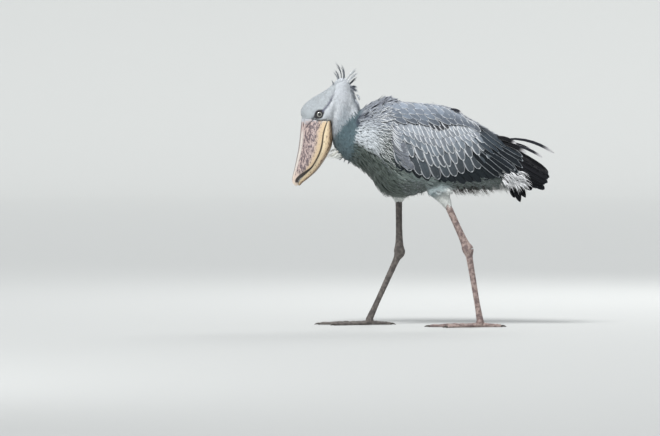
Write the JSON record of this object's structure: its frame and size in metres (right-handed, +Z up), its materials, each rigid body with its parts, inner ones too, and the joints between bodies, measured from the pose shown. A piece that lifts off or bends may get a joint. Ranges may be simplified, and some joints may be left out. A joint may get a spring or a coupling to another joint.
{
  "type": "shoebill",
  "caption": "Life-size standing shoebill, head lowered in mid step, with its broad hooked bill pointing down, folded wings and long toes flat on the ground.",
  "frame": {"origin": "on the ground under the middle of the whole bird", "axes": "+X from bill to tail, +Y to the bird's right side, +Z up"},
  "size_m": [0.8136, 0.284, 0.8344],
  "materials": {
    "grey_plumage": "soft blue-grey feathers with paler edges",
    "slate_feathers": "dark slate flight and tail feathers with thin pale edges",
    "bill_horn": "dull horn, pinkish with grey and cream blotches",
    "leg_scales": "dry grey-brown scaled skin",
    "claw_horn": "dark smooth horn",
    "eye": "wet, pale iris with a black pupil"
  },
  "bodies": {
    "root": {"bill_lower": "bill_horn", "bill_upper": "bill_horn", "claw_hind_left": "claw_horn", "claw_hind_right": "claw_horn", "claw_inner_left": "claw_horn", "claw_inner_right": "claw_horn", "claw_middle_left": "claw_horn", "claw_middle_right": "claw_horn", "claw_outer_left": "claw_horn", "claw_outer_right": "claw_horn", "eye_left": "eye", "eye_right": "eye", "foot_left": "leg_scales", "foot_right": "leg_scales", "head": "grey_plumage", "neck": "grey_plumage", "shank_left": "leg_scales", "shank_right": "leg_scales", "tail": "slate_feathers", "tarsus_left": "leg_scales", "tarsus_right": "leg_scales", "thigh_left": "grey_plumage", "thigh_right": "grey_plumage", "toe_hind_left": "leg_scales", "toe_hind_right": "leg_scales", "toe_inner_left": "leg_scales", "toe_inner_right": "leg_scales", "toe_middle_left": "leg_scales", "toe_middle_right": "leg_scales", "toe_outer_left": "leg_scales", "toe_outer_right": "leg_scales", "torso": "grey_plumage", "wing_left": "slate_feathers", "wing_right": "slate_feathers"}
  },
  "joints": []
}
